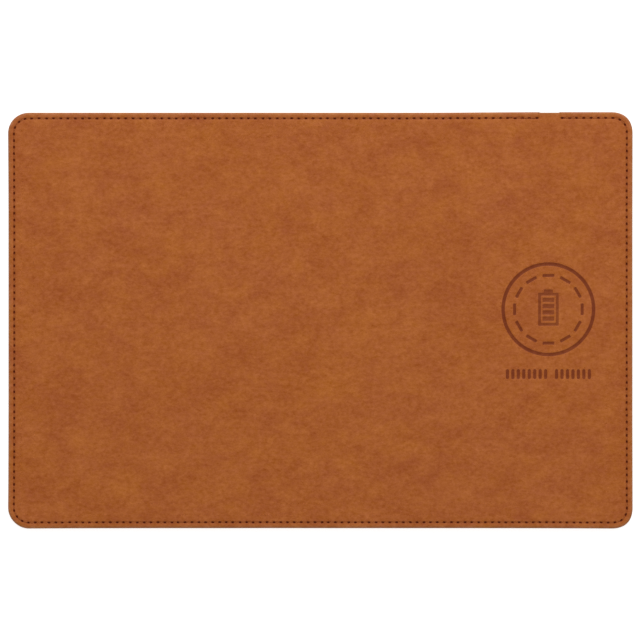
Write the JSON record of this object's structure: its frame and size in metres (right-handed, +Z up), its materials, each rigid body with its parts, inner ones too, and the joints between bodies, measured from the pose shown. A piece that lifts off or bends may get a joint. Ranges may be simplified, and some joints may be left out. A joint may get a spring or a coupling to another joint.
{
  "type": "wireless charging desk pad",
  "caption": "Flat leather desk pad with rounded corners, a stitched edge, a wireless charging coil under a pressed ring mark, and a charging port in its long edge",
  "frame": {"origin": "under the middle of the pad, on the surface that it lies on", "axes": "+X along the long side, towards the end with the charging coil; +Y towards the long edge with the charging port; +Z up, out of the leather top"},
  "size_m": [0.3, 0.2, 0.0054],
  "materials": {
    "tan_leather": "satin",
    "base_leather": "matte",
    "brown_thread": "matte",
    "fibreboard": "matte",
    "black_plastic": "matte",
    "amber_tape": "gloss",
    "ferrite": "matte",
    "litz_copper": "satin",
    "chip_epoxy": "matte",
    "chip_ceramic": "satin",
    "board_green": "gloss",
    "tinned_steel": "satin",
    "gold_plate": "polished",
    "led_lens": "gloss",
    "solder": "satin"
  },
  "bodies": {
    "root": {"top_cover": "tan_leather", "core_board": "fibreboard", "bottom_cover": "base_leather", "needle_thread": "brown_thread", "bobbin_thread": "brown_thread", "coil_tray": "black_plastic", "coil_cover": "black_plastic", "module_tray": "black_plastic", "module_lid": "black_plastic", "ferrite_tape": "amber_tape", "coil_tape": "amber_tape", "ferrite_shield": "ferrite", "charging_coil": "litz_copper", "coil_lead_inner": "litz_copper", "coil_lead_outer": "litz_copper", "thermistor": "chip_epoxy", "thermistor_leads": "tinned_steel", "lid_screws": "tinned_steel", "pcb": "board_green", "usb_shell": "tinned_steel", "usb_insulator": "black_plastic", "usb_contacts": "gold_plate", "controller_ic": "chip_epoxy", "bridge_mosfets": "chip_epoxy", "resonant_capacitors": "chip_ceramic", "filter_inductor": "ferrite", "sense_resistor": "chip_epoxy", "smd_passives": "chip_ceramic", "status_leds": "led_lens", "solder_joints": "solder"}
  },
  "joints": []
}
